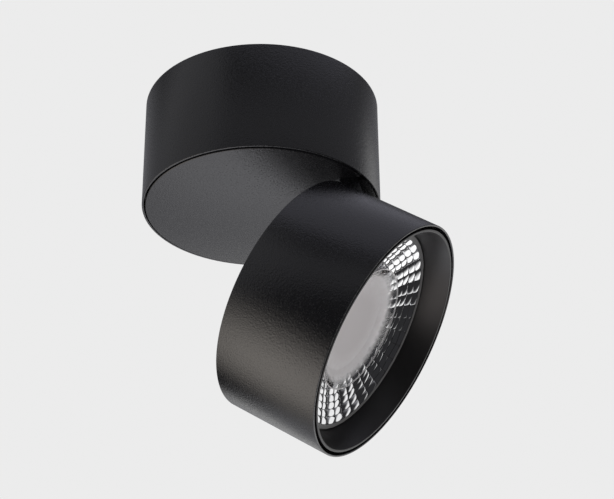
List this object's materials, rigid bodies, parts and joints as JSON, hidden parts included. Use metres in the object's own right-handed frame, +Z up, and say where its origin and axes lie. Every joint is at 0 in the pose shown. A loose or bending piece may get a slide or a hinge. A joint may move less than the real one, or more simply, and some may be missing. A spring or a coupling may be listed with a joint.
{
  "type": "surface mounted spotlight",
  "caption": "Round black ceiling spot: a short cylinder base with a turntable plate and a cylinder lamp head of the same width that swivels and folds out on a side hinge.",
  "frame": {"origin": "centre of the ceiling plane, on the top of the ceiling bracket", "axes": "+Z up into the ceiling, hinge at +X along Y, the lamp looks out towards +X and down"},
  "size_m": [0.129, 0.1, 0.1581],
  "materials": {
    "black_powder_coat": "fine textured matt black powder coat on aluminium",
    "black_plastic": "satin black moulded plastic",
    "clear_lens": "clear moulded lens with a frosted centre",
    "silver_facets": "metallised facets on plastic, with a plain grey rim",
    "zinc_steel": "zinc plated",
    "dark_screw": "black oxide",
    "brass_terminal": "bright",
    "bare_aluminium": "as cast, satin",
    "white_plastic": "matt",
    "natural_nylon": "satin",
    "circuit_board": "satin",
    "led_ceramic": "white solder mask",
    "led_phosphor": "gloss",
    "black_rubber": "matt"
  },
  "bodies": {
    "base": {"ceiling_bracket": "zinc_steel", "inlet_grommet": "black_rubber", "earth_screw": "brass_terminal", "base_housing": "black_powder_coat", "locking_screw": "dark_screw", "terminal_block": "white_plastic", "terminal_screws": "brass_terminal", "driver_case": "white_plastic", "driver_board": "circuit_board", "driver_lid": "white_plastic", "driver_screws": "zinc_steel"},
    "turntable": {"turntable_plate": "black_powder_coat", "swivel_friction_ring": "natural_nylon", "swivel_disc_spring": "zinc_steel", "swivel_nut": "zinc_steel", "stop_pin": "zinc_steel", "hinge_yoke": "black_powder_coat", "yoke_screws": "zinc_steel", "hinge_pin": "zinc_steel", "hinge_washers": "natural_nylon", "plate_grommet": "black_rubber"},
    "head": {"head_housing": "black_powder_coat", "rear_cover": "black_powder_coat", "rear_cover_screws": "dark_screw", "head_grommet": "black_rubber", "hinge_lug": "black_powder_coat", "lug_screws": "zinc_steel", "heat_sink": "bare_aluminium", "led_board": "led_ceramic", "led_emitter": "led_phosphor", "led_holder": "white_plastic", "holder_screws": "zinc_steel", "reflector_cup": "silver_facets", "lens": "clear_lens", "cup_retainer": "black_plastic", "baffle": "black_plastic"}
  },
  "joints": [
    {"name": "swivel", "type": "hinge", "parent": "base", "child": "turntable", "pos_m": [0, 0, 0], "axis": [0, 0, 1], "range_deg": [-175, 175]},
    {"name": "tilt", "type": "hinge", "parent": "turntable", "child": "head", "pos_m": [0.0438, 0, -0.0589], "axis": [0, -1, 0], "range_deg": [-56.4, 33.6]}
  ]
}
